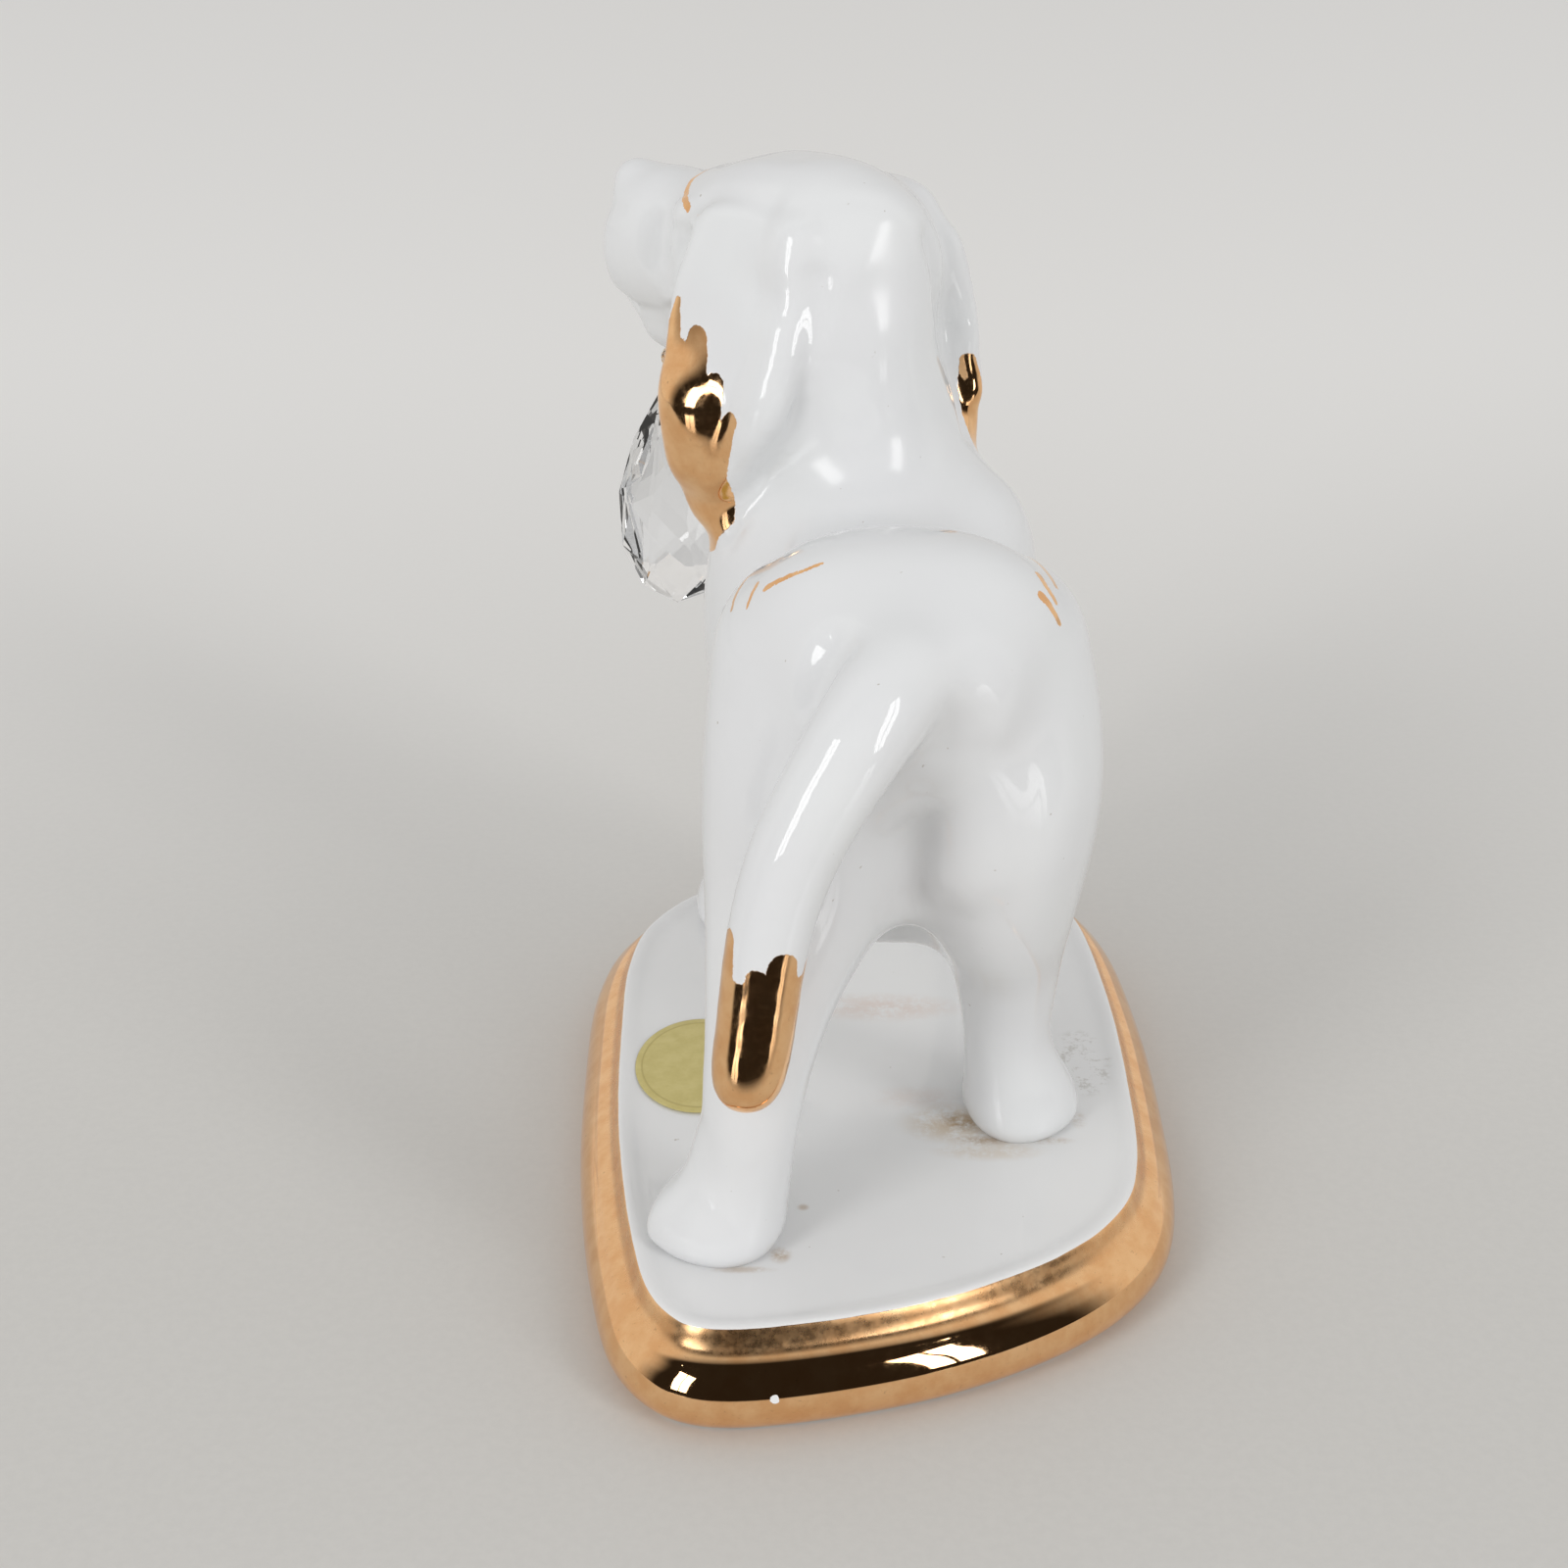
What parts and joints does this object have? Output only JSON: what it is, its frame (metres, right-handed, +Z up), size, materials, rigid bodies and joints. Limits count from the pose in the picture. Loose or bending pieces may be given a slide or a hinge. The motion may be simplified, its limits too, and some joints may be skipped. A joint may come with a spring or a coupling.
{
  "type": "standing hound figurine",
  "caption": "Glazed white porcelain hound standing on a gold-rimmed plinth, head turned aside, with a faceted glass drop hanging from its mouth.",
  "frame": {"origin": "middle of the plinth's outline, on its flat underside", "axes": "+Z up; +Y the way the dog's body faces; -X the dog's left, the side its head is turned to"},
  "size_m": [0.08, 0.1304, 0.1305],
  "materials": {
    "glazed_porcelain": "high gloss clear glaze",
    "gilt_brass": "polished gilt wire",
    "lead_crystal": "cut and polished clear",
    "gold_foil_paper": "satin gold foil, blank"
  },
  "bodies": {
    "figurine": {"plinth": "glazed_porcelain", "torso": "glazed_porcelain", "head": "glazed_porcelain", "ear_left": "glazed_porcelain", "ear_right": "glazed_porcelain", "leg_hind_left": "glazed_porcelain", "leg_hind_right": "glazed_porcelain", "leg_front_left": "glazed_porcelain", "leg_front_right": "glazed_porcelain", "tail": "glazed_porcelain", "mouth_eyelet": "gilt_brass", "foil_sticker": "gold_foil_paper"},
    "ring": {"jump_ring": "gilt_brass"},
    "drop": {"crystal_drop": "lead_crystal"}
  },
  "joints": [
    {"name": "ring_swing", "type": "hinge", "parent": "figurine", "child": "ring", "pos_m": [-0.0272, 0.048, 0.0967], "axis": [0.9781, -0.2079, 0], "range_deg": [-15, 40]},
    {"name": "drop_sway", "type": "hinge", "parent": "ring", "child": "drop", "pos_m": [-0.0272, 0.048, 0.0914], "axis": [0.2079, 0.9781, 0], "range_deg": [-8, 40]}
  ]
}
